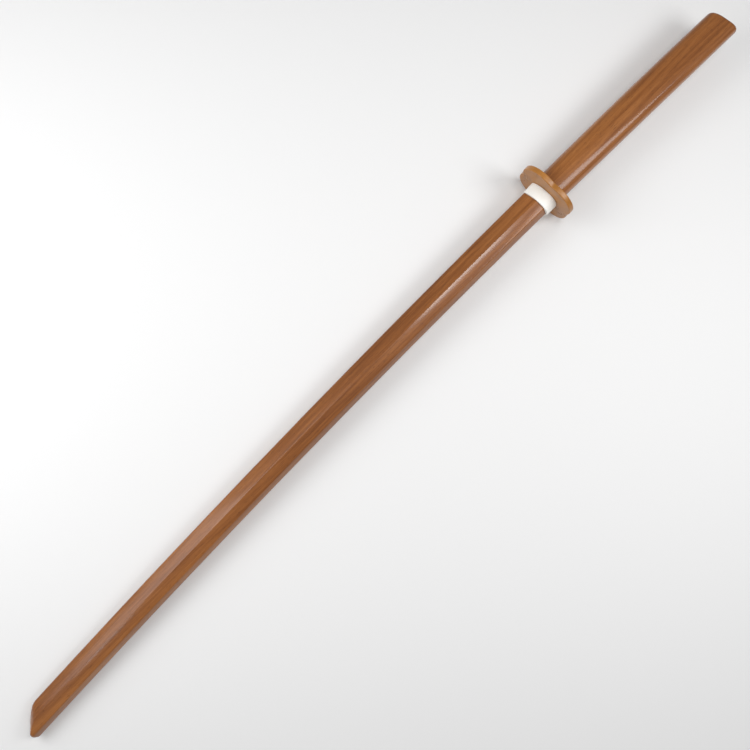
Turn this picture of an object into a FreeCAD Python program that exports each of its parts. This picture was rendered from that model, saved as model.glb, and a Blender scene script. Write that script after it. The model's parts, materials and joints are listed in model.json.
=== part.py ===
import FreeCAD, Part

# Wooden practice sword: one piece of wood that is both blade and handle, a
# slip-on guard with four lobes, and a rubber ring that holds the guard on.
#
# Everything is first drawn in the sword's own frame: origin on the centreline
# at the shoulder where the guard seats, +X along the blade, -Y towards the
# cutting edge, +Y towards the back, +Z out of the flat of the blade.
# The centreline is one long arc about (0, CURVE_RADIUS, 0), edge side outward.
# At the end the sword is laid down: it rests on two lobes of the guard and on
# the blade near the tip, with the handle's end in the air.

import math
import os

# Whole sword, millimetres
TOTAL_LENGTH = 1015.0
HANDLE_LENGTH = 252.6
BLADE_LENGTH = TOTAL_LENGTH - HANDLE_LENGTH
CURVE_RADIUS = 13880.0

# Blade section, at the guard and at the tip
BASE_WIDTH = 30.8
TIP_WIDTH = 27.8
BASE_THICKNESS = 21.0
TIP_THICKNESS = 17.6
RIDGE_SHARE = (0.485, 0.425)    # edge to ridge as a share of the width, shoulder and tip
CORNER_SHARE = 0.83         # edge to the corner of the roofed back
CORNER_HEIGHT_SHARE = 0.88  # half thickness at that corner over that at the ridge
EDGE_RADIUS = 2.6
RIDGE_RADIUS = 1.2
CORNER_RADIUS = 2.0
BACK_RADIUS = 3.0

# Tip: the edge turns towards the back along three arcs, the last one being the
# rounded point, and the ridge follows it along gentler ones
EDGE_ARCS = (18.0, 65.0, 5.6)
RIDGE_ARCS = (45.0, 45.0, 3.0)
EDGE_TURN = 30.0            # degrees turned by the first arc
RIDGE_TURN = 20.0
NOSE_BANDS = 4              # flats that round the edge along the tip
TIP_SEAM = 0.03             # the turned edge stands this far out, to cross the straight one cleanly
BACK_SEAM = 0.15            # and this far out along the back, which it leaves alone

# Handle section: an egg-shaped oval, fuller towards the back
GUARD_END_WIDTH = 33.0
POMMEL_WIDTH = 33.6
HANDLE_SWELL = 0.9          # added to the width half way along
HANDLE_THICKNESS = 25.2
HANDLE_SQUARENESS = (2.05, 3.0)  # at the guard and the pommel; 2 is an ellipse
EGG = 0.12
POMMEL_SLANT = 11.0         # degrees, the end face is longer on the back side
POMMEL_ROUND = 3.6

# Guard
GUARD_THICKNESS = 5.8
LOBE_RADIUS = 23.4
LOBE_OFFSET = 8.9
NOTCH_RADIUS = 5.0
GUARD_ROUND = 0.9
GUARD_CLEARANCE = 0.25
SEAT_LEAN = 1.3             # degrees; the edge side of the shoulder is nearer the tip

# Stopper ring
RING_LENGTH = 13.6
RING_WIDTH = (34.2, 33.8)       # at the guard, at the blade side
RING_THICKNESS = (26.2, 25.0)
RING_SQUARENESS = 2.15
RING_EGG = 0.25
RING_SHIFT = 0.1            # towards the back
RING_ROUND = 0.8
RING_CLEARANCE = 0.12

# Stations for the lofts
BLADE_STATIONS = 9
BLADE_ROOT = 3.0            # how far the blade is carried into the handle
HANDLE_STATIONS = 5
OVERRUN = 30.0              # extra length that the end cuts take off
OVAL_POINTS = 32
OVAL_SEAM = 0.3             # radians from the edge side, clear of the oval's axes

ARC_CENTRE = FreeCAD.Vector(0, CURVE_RADIUS, 0)
UP = FreeCAD.Vector(0, 0, 1)


def along(shape, distance):
    """Carry a shape drawn at the shoulder along the curved centreline."""
    moved = shape.copy()
    moved.rotate(ARC_CENTRE, UP, math.degrees(distance / CURVE_RADIUS))
    return moved


def seated(shape):
    """Lean a shape drawn square at the shoulder to the shoulder's own lean."""
    leaned = shape.copy()
    leaned.rotate(FreeCAD.Vector(), UP, SEAT_LEAN)
    return leaned


def between(start, end, share):
    return start + (end - start) * share


def section_point(y, z):
    return FreeCAD.Vector(0, y, z)


def rounded_polygon(corners):
    """Closed wire across the sword; corners are (y, z, radius of its rounding)."""
    edges = []
    ends = []
    count = len(corners)
    for i, (y, z, radius) in enumerate(corners):
        here = section_point(y, z)
        before = section_point(*corners[i - 1][:2]).sub(here).normalize()
        after = section_point(*corners[(i + 1) % count][:2]).sub(here).normalize()
        half_angle = before.getAngle(after) / 2
        reach = radius / math.tan(half_angle)
        inward = before.add(after).normalize()
        middle = here + inward * (radius / math.sin(half_angle) - radius)
        ends.append((here + before * reach, middle, here + after * reach))
    for i, (first, middle, last) in enumerate(ends):
        edges.append(Part.Arc(first, middle, last).toShape())
        edges.append(Part.LineSegment(last, ends[(i + 1) % count][0]).toShape())
    return Part.Wire(edges)


def blade_shape(distance, spread=0.0):
    """Sizes of the blade section at a distance from the shoulder, grown by spread."""
    share = distance / BLADE_LENGTH
    width = between(BASE_WIDTH, TIP_WIDTH, share)
    edge_y = -width / 2 - spread
    ridge_y = -width / 2 + between(*RIDGE_SHARE, share) * width
    ridge_z = between(BASE_THICKNESS, TIP_THICKNESS, share) / 2 + spread
    corner_y = -width / 2 + CORNER_SHARE * width
    corner_z = CORNER_HEIGHT_SHARE * (ridge_z - spread) + spread
    back_y = width / 2 + spread
    nose = EDGE_RADIUS + spread
    run = ridge_y - (edge_y + nose)
    bevel = math.atan2(ridge_z, run) - math.asin(nose / math.hypot(run, ridge_z))
    return {
        "edge_y": edge_y,
        "ridge_y": ridge_y,
        "ridge_z": ridge_z,
        "corner_y": corner_y,
        "corner_z": corner_z,
        "back_y": back_y,
        "back": BACK_RADIUS + spread,
        "roof": math.atan2(corner_z, back_y - corner_y),
        "nose": nose,
        "bevel": bevel,
        "apex_y": edge_y + nose - nose / math.sin(bevel),
    }


def blade_section(distance, spread=0.0):
    """Six-cornered section: rounded edge, two ridges, two corners, roofed back."""
    s = blade_shape(distance, spread)
    back_apex = s["back_y"] - s["back"] + s["back"] / math.sin(s["roof"])
    return rounded_polygon([
        (s["apex_y"], 0, s["nose"]),
        (s["ridge_y"], -s["ridge_z"], RIDGE_RADIUS + spread),
        (s["corner_y"], -s["corner_z"], CORNER_RADIUS + spread),
        (back_apex, 0, s["back"]),
        (s["corner_y"], s["corner_z"], CORNER_RADIUS + spread),
        (s["ridge_y"], s["ridge_z"], RIDGE_RADIUS + spread),
    ])


def oval_section(width, thickness, squareness, egg=0.0):
    """Squared oval across the sword; egg makes its back half fuller."""
    points = []
    for i in range(OVAL_POINTS):
        angle = OVAL_SEAM + 2 * math.pi * i / OVAL_POINTS
        c = math.cos(angle)
        s = math.sin(angle)
        y = -width / 2 * math.copysign(abs(c) ** (2 / squareness), c)
        z = thickness / 2 * math.copysign(abs(s) ** (2 / squareness), s)
        points.append(section_point(y, z * (1 - egg * c)))
    curve = Part.BSplineCurve()
    curve.interpolate(Points=points, PeriodicFlag=True)
    return Part.Wire(curve.toShape())


def blade_blank():
    """The tapered, curved blade, longer at both ends than the finished one."""
    sections = []
    for i in range(BLADE_STATIONS):
        distance = between(-BLADE_ROOT, BLADE_LENGTH + OVERRUN, i / (BLADE_STATIONS - 1))
        sections.append(along(blade_section(distance), distance))
    return Part.makeLoft(sections, True, False)


def back_surface(s, z):
    """How far out the roofed back stands at a height above the mid-plane."""
    centre = s["back_y"] - s["back"]
    if z < s["back"] * math.cos(s["roof"]):
        return centre + math.sqrt(s["back"] ** 2 - z ** 2)
    return centre + (s["back"] - z * math.cos(s["roof"])) / math.sin(s["roof"])


def inward(turn):
    """Unit vector into the blade from an edge that has turned so far off +X."""
    return FreeCAD.Vector(-math.sin(turn), math.cos(turn), 0)


def turned_arcs(edge_y, back_y, radii, first_turn):
    """Centre, radius, first and last turn of the arcs from the edge to the back."""
    first, second, point = radii
    turn = math.radians(first_turn)
    first_centre = FreeCAD.Vector(0, edge_y + first, 0)
    second_centre = first_centre + inward(turn) * (second - first)
    span = second - point
    drop = second_centre.y - (back_y - point)
    point_centre = second_centre + FreeCAD.Vector(math.sqrt(span ** 2 - drop ** 2), -drop, 0)
    last_turn = math.acos(drop / span)
    return [
        (first_centre, first, 0, turn),
        (second_centre, second, turn, last_turn),
        (point_centre, point, last_turn, math.pi),
    ]


def level_wire(z, edge_y, back_y, radii, first_turn, reach):
    """Closed outline of the turned blade at one height; all of them match in edges."""
    height = UP * z
    edges = []
    for centre, radius, start, end in turned_arcs(edge_y, back_y, radii, first_turn):
        turns = (start, (start + end) / 2, end)
        arc = [centre + height - inward(turn) * radius for turn in turns]
        edges.append(Part.Arc(*arc).toShape())
    corners = [
        arc[-1],
        FreeCAD.Vector(-reach, back_y, z),
        FreeCAD.Vector(-reach, edge_y, z),
        FreeCAD.Vector(0, edge_y, z),
    ]
    for first, last in zip(corners, corners[1:]):
        edges.append(Part.LineSegment(first, last).toShape())
    return Part.Wire(edges)


def tip_bevels(s, reach):
    """Solid whose side is the cutting edge and its bevels, turned round the tip."""
    past = 1.3                  # the bevels run on past the ridge
    gap = s["edge_y"] - s["apex_y"]
    high = past * s["ridge_z"]
    high_edge = between(s["apex_y"], s["ridge_y"], past)
    high_arcs = [between(edge + gap, ridge, past) for edge, ridge in zip(EDGE_ARCS, RIDGE_ARCS)]
    levels = [(high, high_edge, high_arcs, between(EDGE_TURN, RIDGE_TURN, past))]
    for i in range(NOSE_BANDS, 0, -1):
        angle = (math.pi / 2 - s["bevel"]) * i / NOSE_BANDS
        inset = s["nose"] * (1 - math.cos(angle))
        arcs = [radius - inset for radius in EDGE_ARCS]
        levels.append((s["nose"] * math.sin(angle), s["edge_y"] + inset, arcs, EDGE_TURN))
    wires = []
    for side in (-1, 1):
        for z, edge_y, arcs, turn in levels[::-side]:
            back_y = back_surface(s, z) + BACK_SEAM
            wires.append(level_wire(side * z, edge_y - TIP_SEAM, back_y, arcs, turn, reach))
    return Part.makeLoft(wires, True, True)


def tip_waste():
    """What is cut off the blank to leave the turned edge and the rounded point."""
    full = blade_shape(BLADE_LENGTH)
    point_centre = turned_arcs(full["edge_y"], full["back_y"], EDGE_ARCS, EDGE_TURN)[-1][0]
    start = BLADE_LENGTH - point_centre.x - EDGE_ARCS[-1]
    s = blade_shape(start)
    reach = 3 * BASE_WIDTH
    tall = 1.2 * s["ridge_z"]
    waste = Part.makeBox(reach, reach, 2 * tall, FreeCAD.Vector(0, -reach / 2, -tall))
    return along(waste.cut(tip_bevels(s, reach)), start)


def handle():
    """Oval handle behind the shoulder, cut off a little aslant and rounded."""
    sections = []
    length = HANDLE_LENGTH + OVERRUN
    for i in range(HANDLE_STATIONS):
        distance = length * i / (HANDLE_STATIONS - 1)
        share = distance / HANDLE_LENGTH
        width = between(GUARD_END_WIDTH, POMMEL_WIDTH, share)
        width += HANDLE_SWELL * 4 * share * (1 - share)
        squareness = between(*HANDLE_SQUARENESS, share)
        oval = oval_section(width, HANDLE_THICKNESS, squareness, EGG)
        sections.append(along(oval, -distance))
    sections[0] = seated(sections[0])
    blank = Part.makeLoft(sections, True, False)
    size = 4 * OVERRUN
    waste = Part.makeBox(size, size, size, FreeCAD.Vector(-size, -size / 2, -size / 2))
    waste.rotate(FreeCAD.Vector(), UP, POMMEL_SLANT)
    cut_off = blank.cut(along(waste, -HANDLE_LENGTH))
    end = min(cut_off.Faces, key=lambda face: face.CenterOfMass.x)
    return cut_off.makeFillet(POMMEL_ROUND, end.Edges)


def sword_body():
    """Blade and handle, one piece of wood."""
    blade = blade_blank().cut(tip_waste())
    return handle().fuse(blade).removeSplitter().Solids[0]


def guard_outline():
    """Four lobes with a rounded notch between each pair."""
    lobe = LOBE_RADIUS
    notch = NOTCH_RADIUS
    offset = LOBE_OFFSET
    notch_centre = offset + math.sqrt((lobe + notch) ** 2 - offset ** 2)
    share = lobe / (lobe + notch)
    side = offset * (1 - share)
    height = between(offset, notch_centre, share)
    diagonal = offset + lobe / math.sqrt(2)
    edges = []
    for quarter in range(4):
        turn = FreeCAD.Rotation(FreeCAD.Vector(1, 0, 0), 90 * quarter)
        notch_arc = [(side, height), (0, notch_centre - notch), (-side, height)]
        lobe_arc = [(side, height), (diagonal, diagonal), (height, side)]
        for arc in (notch_arc, lobe_arc):
            points = [turn.multVec(section_point(y, z)) for y, z in arc]
            edges.append(Part.Arc(*points).toShape())
    return Part.Wire(Part.__sortEdges__(edges))


def extruded(wire, start, length):
    """Straight solid across the sword from a wire drawn at the shoulder."""
    solid = Part.Face(wire).extrude(FreeCAD.Vector(length, 0, 0))
    solid.translate(FreeCAD.Vector(start, 0, 0))
    return solid


def blade_hole(start, length, clearance):
    """Room for the blade, and a little more, past both faces of a slip-on piece."""
    margin = 2.0
    return extruded(blade_section(start, clearance), start - margin, length + 2 * margin)


def guard():
    plate = extruded(guard_outline(), 0, GUARD_THICKNESS)
    rims = [edge for face in plate.Faces if abs(face.normalAt(0, 0).x) > 0.9
            for edge in face.Edges]
    plate = seated(plate.makeFillet(GUARD_ROUND, rims))
    return plate.cut(blade_hole(0, GUARD_THICKNESS, GUARD_CLEARANCE)).Solids[0]


def stopper():
    """Tapered oval rubber ring pushed up against the guard."""
    ovals = []
    for i, (width, thickness) in enumerate(zip(RING_WIDTH, RING_THICKNESS)):
        oval = oval_section(width, thickness, RING_SQUARENESS, RING_EGG)
        oval.translate(FreeCAD.Vector(i * RING_LENGTH, RING_SHIFT, 0))
        ovals.append(oval)
    plug = Part.makeLoft(ovals, True, False)
    rims = [edge for edge in plug.Edges if edge.isClosed()]
    plug = plug.makeFillet(RING_ROUND, rims)
    plug.translate(FreeCAD.Vector(GUARD_THICKNESS, 0, 0))
    return seated(plug).cut(blade_hole(GUARD_THICKNESS, RING_LENGTH, RING_CLEARANCE)).Solids[0]


def lowest_beyond(shape, tilt):
    """Lowest point of a shape once the tip is tipped down by tilt degrees."""
    tipped = shape.copy()
    tipped.rotate(FreeCAD.Vector(), FreeCAD.Vector(0, 1, 0), tilt)
    return tipped.optimalBoundingBox(True, False).ZMin


def resting_tilt(body, plate):
    """Tilt at which the guard and the blade near the tip lie on one plane."""
    low = 0.0
    high = 4.0
    for _ in range(14):
        tilt = (low + high) / 2
        if lowest_beyond(plate, tilt) < lowest_beyond(body, tilt):
            low = tilt
        else:
            high = tilt
    return (low + high) / 2


def lay_down(shapes):
    """Placement that rests the sword on z = 0 with its box centred on the origin."""
    tilt = resting_tilt(shapes["sword_body"], shapes["guard"])
    turn = FreeCAD.Rotation(FreeCAD.Vector(0, 1, 0), tilt)
    tipped = Part.Compound(list(shapes.values()))
    tipped.Placement = FreeCAD.Placement(FreeCAD.Vector(), turn)
    box = tipped.optimalBoundingBox(True, False)
    return FreeCAD.Placement(FreeCAD.Vector(-box.Center.x, -box.Center.y, -box.ZMin), turn)


SHAPES = {
    "sword_body": sword_body(),
    "guard": guard(),
    "stopper_ring": stopper(),
}
RESTING = lay_down(SHAPES)

os.makedirs("parts", exist_ok=True)
for name, shape in SHAPES.items():
    shape.Placement = RESTING
    shape.exportStep(f"parts/{name}.step")
    print(name, shape.isValid(), len(shape.Solids), round(shape.Volume), "mm3")
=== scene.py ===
# Wooden practice sword lying on its side on a pale studio floor.
#
# The pieces are drawn in millimetres in the sword's own frame: origin at the
# shoulder where the guard seats, +X along the blade, -Y towards the cutting
# edge, +Y towards the back, +Z out of the flat. The centreline is one long arc.
# The hinge that stands for the guard's slide gives that frame's place in the row.

import json
import math

import bpy
import numpy as np
from mathutils import Matrix, Vector, noise


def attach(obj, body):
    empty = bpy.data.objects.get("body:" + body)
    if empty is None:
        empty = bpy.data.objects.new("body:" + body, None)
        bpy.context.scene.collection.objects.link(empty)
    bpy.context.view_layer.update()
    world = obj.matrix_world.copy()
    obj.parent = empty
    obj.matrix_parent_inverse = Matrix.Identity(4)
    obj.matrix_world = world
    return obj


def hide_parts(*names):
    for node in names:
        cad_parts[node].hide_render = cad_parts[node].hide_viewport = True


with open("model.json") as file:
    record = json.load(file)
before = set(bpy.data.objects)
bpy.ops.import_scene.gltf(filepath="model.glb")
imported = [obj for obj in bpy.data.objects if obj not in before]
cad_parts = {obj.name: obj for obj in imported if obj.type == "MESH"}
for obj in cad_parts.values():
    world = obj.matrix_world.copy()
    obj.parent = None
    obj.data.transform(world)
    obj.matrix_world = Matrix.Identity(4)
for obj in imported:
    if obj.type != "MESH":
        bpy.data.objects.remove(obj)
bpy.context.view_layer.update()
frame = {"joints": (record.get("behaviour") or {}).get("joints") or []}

MM = 0.001

# Whole sword
TOTAL_LENGTH = 1015.0
HANDLE_LENGTH = 252.6
BLADE_LENGTH = TOTAL_LENGTH - HANDLE_LENGTH
CURVE_RADIUS = 13880.0

# Blade section, at the guard and at the tip
BASE_WIDTH = 30.8
TIP_WIDTH = 27.8
BASE_THICKNESS = 21.0
TIP_THICKNESS = 17.6
RIDGE_SHARE = (0.485, 0.425)
CORNER_SHARE = 0.83
CORNER_HEIGHT_SHARE = 0.88
EDGE_RADIUS = 2.6
RIDGE_RADIUS = 1.2
CORNER_RADIUS = 2.0
BACK_RADIUS = 3.0
FACET_BULGE = 0.15          # sanding leaves each flat a little full

# Tip: arcs that the edge and the ridge turn along
EDGE_ARCS = np.array((18.0, 65.0, 5.6))
RIDGE_ARCS = np.array((45.0, 45.0, 3.0))
EDGE_TURN = 30.0
RIDGE_TURN = 20.0
TIP_SOFTNESS = 0.5          # how far the bevel's ridge is rubbed down
TIP_SOFTENS_OVER = 8.0      # length over which that rubbing sets in
TIP_POINT = 6.0             # length at the very end that gets closer sections

# Handle
GUARD_END_WIDTH = 33.0
POMMEL_WIDTH = 33.6
HANDLE_SWELL = 0.9
HANDLE_THICKNESS = 25.2
HANDLE_SQUARENESS = (2.05, 3.0)
EGG = 0.12
POMMEL_SLANT = math.radians(11.0)
POMMEL_ROUND = 3.6
POMMEL_DOME = 0.35
SHOULDER_ROUND = 0.5

# Guard
GUARD_THICKNESS = 5.8
LOBE_RADIUS = 23.4
LOBE_OFFSET = 8.9
NOTCH_RADIUS = 5.0
GUARD_ROUND = 0.9
GUARD_CLEARANCE = 0.25
SEAT_LEAN = math.radians(1.3)

# Stopper ring
RING_LENGTH = 13.6
RING_WIDTH = (34.2, 33.8)
RING_THICKNESS = (26.2, 25.0)
RING_SQUARENESS = 2.15
RING_EGG = 0.25
RING_SHIFT = 0.1
RING_ROUND = 0.8
RING_CLEARANCE = 0.12

# Where the guard's hinge puts the sword's own frame
hinge = frame["joints"][0]
UP = Vector(hinge["axis"])
SHOULDER = Vector(hinge["pos_m"]) - Vector((0, CURVE_RADIUS * MM, 0))
TO_ROW = (
    Matrix.Translation(SHOULDER)
    @ Matrix.Rotation(math.atan2(UP.x, UP.z), 4, "Y")
    @ Matrix.Scale(MM, 4)
)


def between(start, end, share):
    return start + (end - start) * share


def smooth_step(value):
    value = np.clip(value, 0, 1)
    return value * value * (3 - 2 * value)


def soft_min(a, b, softness):
    """The lower of two heights, with their crossing rubbed down."""
    softness = np.maximum(softness, 1e-6)
    near = np.clip(1 - np.abs(a - b) / softness, 0, 1)
    return np.minimum(a, b) - near * near * softness / 4


# ---------------------------------------------------------------- sections


def unit(vector):
    return vector / np.linalg.norm(vector)


def fillet(before, here, after, radius, count):
    """Points of the arc that rounds the corner at here."""
    first = unit(before - here)
    last = unit(after - here)
    half = math.acos(np.clip(first @ last, -1, 1)) / 2
    centre = here + unit(first + last) * radius / math.sin(half)
    start = here + first * radius / math.tan(half) - centre
    end = here + last * radius / math.tan(half) - centre
    sweep = math.pi - 2 * half
    shares = np.linspace(0, 1, count)[:, None]
    turned = np.sin((1 - shares) * sweep) * start + np.sin(shares * sweep) * end
    return centre + turned / math.sin(sweep)


def blade_sizes(distance, spread=0.0):
    """Corners and bevel of the blade section at a distance from the shoulder."""
    share = distance / BLADE_LENGTH
    width = between(BASE_WIDTH, TIP_WIDTH, share)
    ridge_z = between(BASE_THICKNESS, TIP_THICKNESS, share) / 2
    edge_y = -width / 2 - spread
    nose = EDGE_RADIUS + spread
    ridge = np.array((-width / 2 + between(*RIDGE_SHARE, share) * width, ridge_z + spread))
    corner = np.array((-width / 2 + CORNER_SHARE * width, CORNER_HEIGHT_SHARE * ridge_z + spread))
    back_y = width / 2 + spread
    back = BACK_RADIUS + spread
    run = ridge[0] - edge_y - nose
    bevel = math.atan2(ridge[1], run) - math.asin(nose / math.hypot(run, ridge[1]))
    roof = math.atan2(corner[1], back_y - corner[0])
    return {
        "edge_y": edge_y,
        "back_y": back_y,
        "nose": nose,
        "back": back,
        "bevel": bevel,
        "roof": roof,
        "ridge": ridge,
        "corner": corner,
        "edge_apex": np.array((edge_y + nose - nose / math.sin(bevel), 0.0)),
        "back_apex": np.array((back_y - back + back / math.sin(roof), 0.0)),
        "spread": spread,
    }


SIDE_POINTS = 22
ARC_POINTS = 9


def upper_half(sizes):
    """Points (y, z) of the upper half of the blade section, from the edge to the back."""
    flip = np.array((1, -1))
    edge = sizes["edge_apex"]
    ridge = sizes["ridge"]
    corner = sizes["corner"]
    back = sizes["back_apex"]
    spread = sizes["spread"]
    arcs = [
        fillet(ridge * flip, edge, ridge, sizes["nose"], 2 * ARC_POINTS - 1)[ARC_POINTS - 1:],
        fillet(edge, ridge, corner, RIDGE_RADIUS + spread, ARC_POINTS),
        fillet(ridge, corner, back, CORNER_RADIUS + spread, ARC_POINTS),
        fillet(corner, back, corner * flip, sizes["back"], 2 * ARC_POINTS - 1)[:ARC_POINTS],
    ]
    points = [arcs[0]]
    for before, after in zip(arcs, arcs[1:]):
        shares = np.linspace(0, 1, SIDE_POINTS + 2)[1:-1, None]
        flat = between(before[-1], after[0], shares)
        out = unit(after[0] - before[-1])[::-1] * np.array((-1, 1))
        points.append(flat + out * FACET_BULGE * 4 * shares * (1 - shares))
        points.append(after)
    points = np.concatenate(points)
    points[[0, -1], 1] = 0
    return points


HALF_POINTS = len(upper_half(blade_sizes(0)))


def whole_ring(half):
    """The closed section made of its upper half and its mirror image."""
    lower = half[-2:0:-1] * np.array((1, -1))
    return np.concatenate((half, lower))


def oval(width, thickness, squareness, egg=0.0, inset=0.0):
    """Upper half of a squared oval; egg makes its back half fuller."""
    angle = np.linspace(0, math.pi, HALF_POINTS)
    c = np.cos(angle)
    s = np.sin(angle)
    y = -width / 2 * np.sign(c) * np.abs(c) ** (2 / squareness)
    z = thickness / 2 * np.abs(s) ** (2 / squareness)
    points = np.stack((y, z * (1 - egg * c)), -1)
    if inset:
        points = points - inset * outward(whole_ring(points))[:HALF_POINTS]
    points[[0, -1], 1] = 0
    return points


def outward(ring):
    """Unit normals of a closed ring of points that runs clockwise seen from +X."""
    along_ring = np.roll(ring, -1, 0) - np.roll(ring, 1, 0)
    normals = np.stack((-along_ring[:, 1], along_ring[:, 0]), -1)
    return normals / np.linalg.norm(normals, axis=1)[:, None]


def place(distance, ring, lean=0.0):
    """Points in the sword's frame of a section carried along the centreline."""
    angle = (distance + lean) / CURVE_RADIUS
    reach = CURVE_RADIUS - ring[:, 0]
    x = reach * np.sin(angle)
    y = CURVE_RADIUS - reach * np.cos(angle)
    return np.stack((x, y, ring[:, 1]), -1)


# ---------------------------------------------------------------- meshes


def mesh_from_rings(name, rings, closed=False, caps=False):
    """Object whose skin joins each ring of points to the next one."""
    count = len(rings[0])
    points = np.concatenate(rings)
    faces = []
    pairs = len(rings) if closed else len(rings) - 1
    for i in range(pairs):
        low = i * count
        high = (i + 1) % len(rings) * count
        for j in range(count):
            k = (j + 1) % count
            faces.append((low + j, low + k, high + k, high + j))
    if caps:
        ends = [rings[0].mean(0), rings[-1].mean(0)]
        first = len(points)
        points = np.concatenate((points, ends))
        last_ring = (len(rings) - 1) * count
        for j in range(count):
            k = (j + 1) % count
            faces.append((first, k, j))
            faces.append((first + 1, last_ring + j, last_ring + k))
    mesh = bpy.data.meshes.new(name)
    mesh.from_pydata([TO_ROW @ Vector(p) for p in points], [], faces)
    mesh.update()
    mesh.shade_smooth()
    obj = bpy.data.objects.new(name, mesh)
    bpy.context.scene.collection.objects.link(obj)
    return obj


def roughen(obj, depth, grain):
    """Moves the surface in and out a little, as hand sanding or moulding leaves it."""
    mesh = obj.data
    normals = [v.normal.copy() for v in mesh.vertices]
    for v, normal in zip(mesh.vertices, normals):
        spot = Vector((v.co.x / grain[0], v.co.y / grain[1], v.co.z / grain[2]))
        v.co += normal * depth * noise.noise(spot)
    mesh.update()


def finish_piece(obj, body, node, material):
    obj.data.materials.append(material)
    weighted = obj.modifiers.new("weighted_normals", "WEIGHTED_NORMAL")
    weighted.keep_sharp = True
    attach(obj, body)
    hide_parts(node)


# ---------------------------------------------------------------- sword


def turned_arcs(edge_y, back_y, radii, first_turn):
    """Centres, radii and end turns of the three arcs from the edge to the back."""
    first, second, point = radii
    centre_1 = np.array((0.0, edge_y + first))
    centre_2 = centre_1 + np.array((-math.sin(first_turn), math.cos(first_turn))) * (second - first)
    span = second - point
    drop = centre_2[1] - (back_y - point)
    centre_3 = centre_2 + np.array((math.sqrt(span ** 2 - drop ** 2), -drop))
    return centre_1, centre_2, centre_3, math.acos(drop / span)


def back_surface(sizes, z):
    """How far out the roofed back stands at a height above the mid-plane."""
    centre = sizes["back_y"] - sizes["back"]
    if z < sizes["back"] * math.cos(sizes["roof"]):
        return centre + math.sqrt(sizes["back"] ** 2 - z ** 2)
    return centre + (sizes["back"] - z * math.cos(sizes["roof"])) / math.sin(sizes["roof"])


class TipLevels:
    """Plan outlines of the turned edge and its bevel at rising heights."""

    NOSE_LEVELS = 14
    BEVEL_LEVELS = 26
    PAST = 1.3

    def __init__(self, sizes):
        bevel_turn = math.pi / 2 - sizes["bevel"]
        self.levels = []
        for angle in np.linspace(0, bevel_turn, self.NOSE_LEVELS):
            inset = sizes["nose"] * (1 - math.cos(angle))
            z = sizes["nose"] * math.sin(angle)
            self.add(sizes, z, sizes["edge_y"] + inset, EDGE_ARCS - inset, EDGE_TURN)
        top_z = sizes["nose"] * math.sin(bevel_turn)
        top_y = sizes["edge_y"] + inset
        gap = sizes["edge_y"] - sizes["edge_apex"][0]
        high_z = self.PAST * sizes["ridge"][1]
        high_y = between(sizes["edge_apex"][0], sizes["ridge"][0], self.PAST)
        high_arcs = between(EDGE_ARCS + gap, RIDGE_ARCS, self.PAST)
        high_turn = between(EDGE_TURN, RIDGE_TURN, self.PAST)
        for share in np.linspace(0, 1, self.BEVEL_LEVELS)[1:]:
            self.add(
                sizes,
                between(top_z, high_z, share),
                between(top_y, high_y, share),
                between(EDGE_ARCS - inset, high_arcs, share),
                between(EDGE_TURN, high_turn, share),
            )
        self.z = np.array([level[0] for level in self.levels])
        self.end_x = np.array([level[3][2][0] + level[2][2] for level in self.levels])
        self.end_y = np.array([level[3][2][1] for level in self.levels])

    def add(self, sizes, z, edge_y, radii, turn):
        arcs = turned_arcs(edge_y, back_surface(sizes, z), radii, math.radians(turn))
        self.levels.append((z, edge_y, radii, arcs))

    @staticmethod
    def edge_at(level, x):
        """Where the outline's edge side crosses a station."""
        _, edge_y, radii, (centre_1, centre_2, centre_3, last_turn) = level
        if x <= 0:
            return edge_y
        if x < centre_2[0] + radii[1] * math.sin(last_turn):
            first_turn = math.atan2(centre_1[0] - centre_2[0], centre_2[1] - centre_1[1])
            second = x > radii[0] * math.sin(first_turn)
            centre, radius = (centre_2, radii[1]) if second else (centre_1, radii[0])
        else:
            centre, radius = centre_3, radii[2]
        return centre[1] - math.sqrt(max(radius ** 2 - (x - centre[0]) ** 2, 0))

    @staticmethod
    def back_at(level, x):
        """Where the outline's back side crosses a station."""
        radii = level[2]
        centre = level[3][2]
        if x <= centre[0]:
            return centre[1] + radii[2]
        return centre[1] + math.sqrt(max(radii[2] ** 2 - (x - centre[0]) ** 2, 0))

    def crossings(self, x):
        """Heights, edge side and back side of the outlines that reach a station."""
        reached = self.end_x > x
        z = list(self.z[reached])
        low = [self.edge_at(level, x) for level, ok in zip(self.levels, reached) if ok]
        high = [self.back_at(level, x) for level, ok in zip(self.levels, reached) if ok]
        if not reached.all():
            order = np.argsort(self.end_x)
            cap_z = np.interp(x, self.end_x[order], self.z[order])
            cap_y = np.interp(x, self.end_x[order], self.end_y[order])
            z.append(cap_z)
            low.append(cap_y)
            high.append(cap_y)
        return np.array(z), np.array(low), np.array(high)


def tip_section(levels, x, distance):
    """Upper half of the section at a station of the turned, bevelled tip."""
    blank = upper_half(blade_sizes(distance))
    z, low, high = levels.crossings(x)
    across = (blank[:, 0] - blank[0, 0]) / (blank[-1, 0] - blank[0, 0])
    y = between(low[0], min(high[0], blank[-1, 0]), across)
    softness = TIP_SOFTNESS * smooth_step(x / TIP_SOFTENS_OVER)
    softness = min(softness, 0.6 * z.max())
    height = soft_min(np.interp(y, blank[:, 0], blank[:, 1]), np.interp(y, low, z), softness)
    from_back = np.interp(y, high[::-1], z[::-1])
    height = soft_min(height, from_back, softness)
    height[[0, -1]] = 0
    return np.stack((y, np.maximum(height, 0)), -1)


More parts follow.
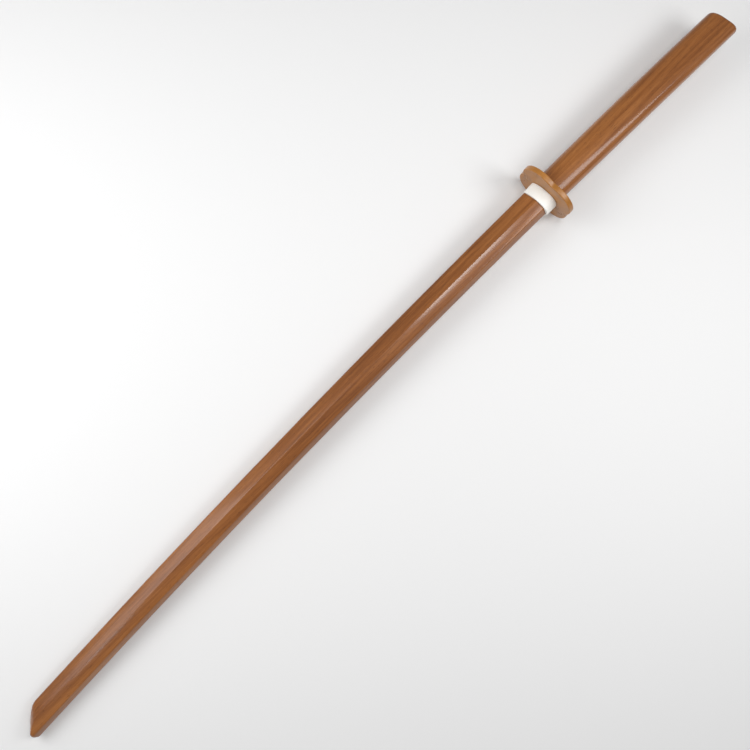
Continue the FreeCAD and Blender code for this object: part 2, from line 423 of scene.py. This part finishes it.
def pommel_rings():
    """Rings from the middle of the handle's end face out and round its rim."""
    rings = []

    def ring_at(advance, inset, shrink=1.0):
        half = oval(POMMEL_WIDTH, HANDLE_THICKNESS, HANDLE_SQUARENESS[1], EGG, inset) * shrink
        ring = whole_ring(half)
        lean = -np.tan(POMMEL_SLANT) * ring[:, 0]
        return place(-HANDLE_LENGTH + POMMEL_ROUND - advance, ring, lean)

    for shrink in np.linspace(0.06, 0.97, 14):
        dome = POMMEL_DOME * (1 - shrink ** 2)
        rings.append(ring_at(POMMEL_ROUND + dome, POMMEL_ROUND, shrink))
    for angle in np.linspace(math.pi / 2, 0, 15):
        rings.append(ring_at(POMMEL_ROUND * math.sin(angle), POMMEL_ROUND * (1 - math.cos(angle))))
    return rings


def handle_rings():
    """Rings from the handle's end to the shoulder; the slant fades out on the way."""
    rings = []
    start = HANDLE_LENGTH - POMMEL_ROUND
    for share in np.linspace(0, 1, 62)[1:]:
        distance = -start + (start - SHOULDER_ROUND) * share
        fraction = -distance / HANDLE_LENGTH
        width = between(GUARD_END_WIDTH, POMMEL_WIDTH, fraction)
        width += HANDLE_SWELL * 4 * fraction * (1 - fraction)
        squareness = between(*HANDLE_SQUARENESS, fraction)
        ring = whole_ring(oval(width, HANDLE_THICKNESS, squareness, EGG))
        lean = -np.tan(POMMEL_SLANT) * ring[:, 0] * (1 - smooth_step(share * 6))
        lean -= np.tan(SEAT_LEAN) * ring[:, 0] * smooth_step(share * 3 - 2)
        rings.append(place(distance, ring, lean))
    for angle in np.linspace(0, math.pi / 2, 6)[1:]:
        inset = SHOULDER_ROUND * (1 - math.cos(angle))
        ring = whole_ring(oval(GUARD_END_WIDTH, HANDLE_THICKNESS, HANDLE_SQUARENESS[0], EGG, inset))
        rings.append(place(SHOULDER_ROUND * (math.sin(angle) - 1), ring, -np.tan(SEAT_LEAN) * ring[:, 0]))
    return rings


def blade_rings():
    """Rings from the shoulder to the point, closer together along the tip."""
    rings = []
    for spread, distance in ((0.12, 0.0), (0.0, 0.0), (0.0, 0.15)):
        ring = whole_ring(upper_half(blade_sizes(distance, spread)))
        rings.append(place(distance, ring, -np.tan(SEAT_LEAN) * ring[:, 0]))
    end_sizes = blade_sizes(BLADE_LENGTH)
    end_arcs = turned_arcs(end_sizes["edge_y"], end_sizes["back_y"], EDGE_ARCS, math.radians(EDGE_TURN))
    tip_start = BLADE_LENGTH - end_arcs[2][0] - EDGE_ARCS[2]
    for distance in np.linspace(0, tip_start, 170)[1:]:
        rings.append(place(distance, whole_ring(upper_half(blade_sizes(distance)))))
    levels = TipLevels(blade_sizes(tip_start))
    length = levels.end_x[0]
    body = length - TIP_POINT
    stations = list(np.linspace(0, body, 110)[1:])
    stations += list(body + TIP_POINT * np.sin(np.linspace(0, math.pi / 2, 34)[1:-1]))
    for x in stations:
        half = tip_section(levels, x, min(tip_start + x, BLADE_LENGTH))
        rings.append(place(tip_start + x, whole_ring(half)))
    return rings


def make_sword(material):
    rings = pommel_rings() + handle_rings() + blade_rings()
    sword = mesh_from_rings("carved_sword", rings, caps=True)
    roughen(sword, depth=0.10 * MM, grain=(0.045, 0.014, 0.014))
    finish_piece(sword, "sword", "sword_body", material)


# ---------------------------------------------------------------- guard and ring

AROUND = 360
ANGLES = np.linspace(-math.pi, math.pi, AROUND, endpoint=False)


def at_angles(ring):
    """A closed outline round the origin, resampled at even angles."""
    angle = np.arctan2(ring[:, 1], ring[:, 0])
    radius = np.hypot(ring[:, 0], ring[:, 1])
    order = np.argsort(angle)
    even = np.interp(ANGLES, angle[order], radius[order], period=2 * math.pi)
    return np.stack((even * np.cos(ANGLES), even * np.sin(ANGLES)), -1)


def round_points(angles):
    """Points of the unit circle at these angles."""
    return np.stack((np.cos(angles), np.sin(angles)), -1)


def guard_outline(inset):
    """Four lobes with a rounded notch between each pair, drawn in by inset."""
    lobe = LOBE_RADIUS - inset
    notch = NOTCH_RADIUS + inset
    offset = LOBE_OFFSET
    notch_centre = offset + math.sqrt((lobe + notch) ** 2 - offset ** 2)
    turn = math.atan2(notch_centre - offset, offset)
    points = []
    for quarter in range(4):
        lobe_angles = np.linspace(turn - math.pi / 2, math.pi - turn, 200)
        notch_angles = np.linspace(-turn, -math.pi + turn, 40)
        lobe_arc = offset + lobe * round_points(lobe_angles)
        notch_arc = np.array((0, notch_centre)) + notch * round_points(notch_angles)
        c = math.cos(quarter * math.pi / 2)
        s = math.sin(quarter * math.pi / 2)
        spin = np.array(((c, s), (-s, c)))
        points.append(lobe_arc @ spin)
        points.append(notch_arc @ spin)
    return at_angles(np.concatenate(points))


def hole_outline(distance, clearance):
    """Outline of the blade's hole, shifted so that the seat's lean brings it onto the blade."""
    shift = np.array((distance * math.sin(SEAT_LEAN), 0.0))
    return at_angles(whole_ring(upper_half(blade_sizes(distance, clearance))) - shift)


def rounded_rim(length, radius, outline, steps=8):
    """Rings over the outer rim of a slip-on piece, from its back face to its front one."""
    rings = []
    for angle in np.linspace(math.pi / 2, 0, steps):
        rings.append((radius * (1 - math.sin(angle)), outline(radius * (1 - math.cos(angle)), 0.0)))
    for share in np.linspace(0, 1, 7)[1:-1]:
        x = between(radius, length - radius, share)
        rings.append((x, outline(0.0, x / length)))
    for angle in np.linspace(0, math.pi / 2, steps):
        x = length - radius * (1 - math.sin(angle))
        rings.append((x, outline(radius * (1 - math.cos(angle)), 1.0)))
    return rings


def slip_on(name, start, length, radius, outline, clearance, lip, face_steps):
    """A piece with a blade-shaped hole: rim, faces, hole edges rounded by lip, and hole wall."""
    rim = rounded_rim(length, radius, outline)
    profile = list(rim)
    front_hole = hole_outline(start + length, clearance + lip)
    for share in np.linspace(0, 1, face_steps)[1:]:
        profile.append((length, between(rim[-1][1], front_hole, share)))
    for angle in np.linspace(0, math.pi / 2, 5)[1:]:
        spread = clearance + lip * (1 - math.sin(angle))
        profile.append((length - lip * (1 - math.cos(angle)), hole_outline(start + length, spread)))
    for angle in np.linspace(math.pi / 2, 0, 5):
        spread = clearance + lip * (1 - math.sin(angle))
        profile.append((lip * (1 - math.cos(angle)), hole_outline(start, spread)))
    back_hole = profile[-1][1]
    for share in np.linspace(0, 1, face_steps)[1:-1]:
        profile.append((0.0, between(back_hole, rim[0][1], share)))
    lean = np.array(Matrix.Rotation(SEAT_LEAN, 3, "Z"))
    rings = [np.column_stack((np.full(AROUND, start + x), ring)) @ lean.T for x, ring in profile]
    return mesh_from_rings(name, rings[::-1], closed=True)


def make_guard(material):
    def outline(inset, _):
        return guard_outline(inset)

    guard = slip_on(
        "lobed_guard",
        start=0.0,
        length=GUARD_THICKNESS,
        radius=GUARD_ROUND,
        outline=outline,
        clearance=GUARD_CLEARANCE,
        lip=0.4,
        face_steps=12,
    )
    roughen(guard, depth=0.05 * MM, grain=(0.012, 0.012, 0.012))
    finish_piece(guard, "guard", "guard", material)


def make_ring(material):
    def outline(inset, share):
        width = between(RING_WIDTH[0], RING_WIDTH[1], share)
        thickness = between(RING_THICKNESS[0], RING_THICKNESS[1], share)
        ring = whole_ring(oval(width, thickness, RING_SQUARENESS, RING_EGG, inset))
        return at_angles(ring + np.array((RING_SHIFT, 0.0)))

    ring = slip_on(
        "rubber_ring",
        start=GUARD_THICKNESS,
        length=RING_LENGTH,
        radius=RING_ROUND,
        outline=outline,
        clearance=RING_CLEARANCE,
        lip=0.5,
        face_steps=5,
    )
    roughen(ring, depth=0.08 * MM, grain=(0.010, 0.010, 0.010))
    finish_piece(ring, "stopper", "stopper_ring", material)


# ---------------------------------------------------------------- materials


class Shader:
    """A node material being put together."""

    def __init__(self, name):
        self.material = bpy.data.materials.new(name)
        self.material.use_nodes = True
        self.tree = self.material.node_tree
        self.shader = self.tree.nodes["Principled BSDF"]
        self.place = self.node("ShaderNodeTexCoord").outputs["Object"]

    def node(self, kind, **settings):
        made = self.tree.nodes.new(kind)
        for key, value in settings.items():
            setattr(made, key, value)
        return made

    def join(self, value, socket):
        if isinstance(value, bpy.types.NodeSocket):
            self.tree.links.new(value, socket)
        else:
            socket.default_value = value

    def stretched(self, scale, vector=None):
        mapping = self.node("ShaderNodeMapping")
        self.join(vector or self.place, mapping.inputs["Vector"])
        mapping.inputs["Scale"].default_value = scale
        return mapping.outputs["Vector"]

    def noise(self, scale, detail=3.0, roughness=0.5, distortion=0.0, vector=None, output="Fac"):
        made = self.node("ShaderNodeTexNoise")
        self.join(self.stretched(scale, vector), made.inputs["Vector"])
        made.inputs["Scale"].default_value = 1.0
        made.inputs["Detail"].default_value = detail
        made.inputs["Roughness"].default_value = roughness
        made.inputs["Distortion"].default_value = distortion
        return made.outputs[output]

    def maths(self, operation, a, b):
        made = self.node("ShaderNodeMath", operation=operation)
        self.join(a, made.inputs[0])
        self.join(b, made.inputs[1])
        return made.outputs[0]

    def spread(self, value, low, high, to_low=0.0, to_high=1.0):
        made = self.node("ShaderNodeMapRange")
        self.join(value, made.inputs["Value"])
        limits = {"From Min": low, "From Max": high, "To Min": to_low, "To Max": to_high}
        for key, limit in limits.items():
            made.inputs[key].default_value = limit
        return made.outputs["Result"]

    def ramp(self, value, stops):
        made = self.node("ShaderNodeValToRGB")
        self.join(value, made.inputs["Fac"])
        elements = made.color_ramp.elements
        while len(elements) < len(stops):
            elements.new(0.5)
        for element, (position, colour) in zip(elements, stops):
            element.position = position
            element.color = (*colour, 1.0)
        return made.outputs["Color"]

    def darken(self, factor, colour, dark):
        """Mix a plain dark colour into another node's colour."""
        made = self.node("ShaderNodeMix", data_type="RGBA", blend_type="MIX")
        self.join(factor, made.inputs[0])
        self.join(colour, made.inputs[6])
        self.join((*dark, 1.0), made.inputs[7])
        return made.outputs[2]

    def bump(self, height, distance, strength):
        made = self.node("ShaderNodeBump")
        made.inputs["Distance"].default_value = distance
        made.inputs["Strength"].default_value = strength
        self.join(height, made.inputs["Height"])
        return made.outputs["Normal"]

    def set(self, **inputs):
        for key, value in inputs.items():
            self.join(value, self.shader.inputs[key.replace("_", " ")])
        return self.material


def linear(red, green, blue):
    """Linear colour from the usual 0 to 255 values."""
    return tuple(((c / 255 + 0.055) / 1.055) ** 2.4 for c in (red, green, blue))


def wood_material():
    """Straight, fine-grained brown hardwood under a clear satin varnish."""
    wood = Shader("sword_wood")
    sway = wood.noise((3.0, 18.0, 18.0), 2.0, output="Color")
    shift = wood.node("ShaderNodeVectorMath", operation="MULTIPLY")
    wood.join(sway, shift.inputs[0])
    shift.inputs[1].default_value = (0.0, 0.006, 0.006)
    moved = wood.node("ShaderNodeVectorMath", operation="ADD")
    wood.join(wood.place, moved.inputs[0])
    wood.join(shift.outputs[0], moved.inputs[1])
    grain = moved.outputs[0]

    drift = wood.noise((2.0, 45.0, 45.0), 3.0, vector=grain)
    streaks = wood.noise((6.0, 330.0, 330.0), 4.0, 0.6, vector=grain)
    fibres = wood.noise((34.0, 1500.0, 1500.0), 3.0, 0.6, vector=grain)
    pores = wood.noise((150.0, 2600.0, 2600.0), 2.0, 0.5, vector=grain)
    pore_mask = wood.spread(pores, 0.60, 0.70)

    broad = wood.maths("MULTIPLY", drift, 0.42)
    narrow = wood.maths("MULTIPLY", streaks, 0.40)
    fine = wood.maths("MULTIPLY", fibres, 0.18)
    tone = wood.maths("ADD", wood.maths("ADD", broad, narrow), fine)
    colour = wood.ramp(tone, (
        (0.30, linear(100, 53, 18)),
        (0.45, linear(133, 78, 32)),
        (0.58, linear(157, 98, 46)),
        (0.72, linear(184, 123, 66)),
    ))
    colour = wood.darken(wood.maths("MULTIPLY", pore_mask, 0.55), colour, linear(70, 36, 16))
    raised = wood.maths("MULTIPLY", fibres, 0.35)
    sunk = wood.maths("MULTIPLY", pore_mask, 0.5)
    relief = wood.maths("SUBTRACT", raised, sunk)
    normal = wood.bump(relief, 0.00006, 0.6)
    roughness = wood.spread(streaks, 0.3, 0.7, 0.34, 0.44)
    return wood.set(
        Base_Color=colour,
        Roughness=roughness,
        Normal=normal,
        Specular_IOR_Level=0.2,
        Coat_Weight=0.7,
        Coat_Roughness=0.15,
    )


def guard_material():
    """Caramel moulded plastic, smooth with the faintest mottle."""
    plastic = Shader("guard_caramel")
    swirl = plastic.noise((60.0, 60.0, 60.0), 4.0, 0.55, 0.6)
    fine = plastic.noise((1500.0, 1500.0, 1500.0), 2.0)
    colour = plastic.ramp(swirl, (
        (0.30, linear(152, 98, 38)),
        (0.70, linear(180, 120, 52)),
    ))
    roughness = plastic.spread(swirl, 0.3, 0.7, 0.26, 0.36)
    return plastic.set(
        Base_Color=colour,
        Roughness=roughness,
        Normal=plastic.bump(fine, 0.00002, 0.5),
        Specular_IOR_Level=0.5,
    )


def rubber_material():
    """White rubber, faintly cloudy."""
    rubber = Shader("ring_rubber")
    cloud = rubber.noise((110.0, 110.0, 110.0), 3.0)
    fine = rubber.noise((2200.0, 2200.0, 2200.0), 2.0)
    colour = rubber.ramp(cloud, (
        (0.3, linear(246, 246, 240)),
        (0.7, linear(251, 251, 247)),
    ))
    return rubber.set(
        Base_Color=colour,
        Roughness=rubber.spread(cloud, 0.3, 0.7, 0.42, 0.52),
        Normal=rubber.bump(fine, 0.00003, 0.4),
    )


# ---------------------------------------------------------------- studio

AIM = Vector((0.00697, 0.00994, 0.020))
CAMERA_DISTANCE = 0.850
CAMERA_LEAN = 0.05586       # radians off the vertical, towards the tip
CAMERA_ROLL = 0.77544       # radians from the sword's line to the frame's right
LENS = 39.68
SENSOR = 36.0

BACK = Vector((math.sin(CAMERA_LEAN), 0, math.cos(CAMERA_LEAN)))
TO_POMMEL = Vector((-math.cos(CAMERA_LEAN), 0, math.sin(CAMERA_LEAN)))
TO_EDGE = Vector((0, -1, 0))
FRAME_RIGHT = TO_POMMEL * math.cos(CAMERA_ROLL) - TO_EDGE * math.sin(CAMERA_ROLL)
FRAME_UP = TO_POMMEL * math.sin(CAMERA_ROLL) + TO_EDGE * math.cos(CAMERA_ROLL)


def make_camera():
    """Nearly overhead, the sword running from low left to high right of the picture."""
    data = bpy.data.cameras.new("camera")
    data.lens = LENS
    data.sensor_width = SENSOR
    camera = bpy.data.objects.new("camera", data)
    turn = Matrix((FRAME_RIGHT, FRAME_UP, BACK)).transposed().to_4x4()
    camera.matrix_world = Matrix.Translation(AIM + BACK * CAMERA_DISTANCE) @ turn
    bpy.context.scene.collection.objects.link(camera)
    bpy.context.scene.camera = camera


def make_floor():
    size = 3.0
    mesh = bpy.data.meshes.new("floor")
    corners = [(-size, -size, 0), (size, -size, 0), (size, size, 0), (-size, size, 0)]
    mesh.from_pydata(corners, [], [(0, 1, 2, 3)])
    floor = bpy.data.objects.new("floor", mesh)
    bpy.context.scene.collection.objects.link(floor)
    paper = Shader("pale_floor")
    pale = (0.86, 0.86, 0.86, 1.0)
    mesh.materials.append(paper.set(Base_Color=pale, Roughness=0.9, Specular_IOR_Level=0.1))


def softbox(name, place, height, size, power):
    """Soft light at a place (right, up) of the picture, facing the middle of the sword."""
    data = bpy.data.lights.new(name, "AREA")
    data.shape = "RECTANGLE"
    data.size, data.size_y = size
    data.energy = power
    light = bpy.data.objects.new(name, data)
    flat_right = Vector((FRAME_RIGHT.x, FRAME_RIGHT.y, 0)).normalized()
    flat_up = Vector((FRAME_UP.x, FRAME_UP.y, 0)).normalized()
    light.location = flat_right * place[0] + flat_up * place[1] + Vector((0, 0, height))
    light.rotation_euler = (-light.location).to_track_quat("-Z", "Y").to_euler()
    bpy.context.scene.collection.objects.link(light)


def make_studio():
    scene = bpy.context.scene
    scene.view_settings.view_transform = "Standard"
    world = bpy.data.worlds.new("studio")
    world.use_nodes = True
    background = world.node_tree.nodes["Background"]
    background.inputs["Color"].default_value = (1.0, 1.0, 1.0, 1.0)
    background.inputs["Strength"].default_value = 0.31
    scene.world = world
    softbox("softbox_left", (-0.64, 0.00), 0.66, (0.55, 0.55), 1.9)
    softbox("softbox_left_low", (-0.86, 0.03), 0.48, (0.50, 0.40), 1.3)
    softbox("softbox_right", (0.66, 0.04), 0.74, (0.40, 0.40), 3.0)
    softbox("softbox_upper_left", (-0.58, 0.26), 0.68, (0.40, 0.40), 1.3)
    softbox("softbox_tip", (-0.56, -0.58), 0.90, (0.16, 0.16), 0.5)
    softbox("softbox_above", (0.22, 0.18), 1.05, (0.26, 0.26), 2.7)


make_camera()
make_floor()
make_studio()
make_sword(wood_material())
make_guard(guard_material())
make_ring(rubber_material())
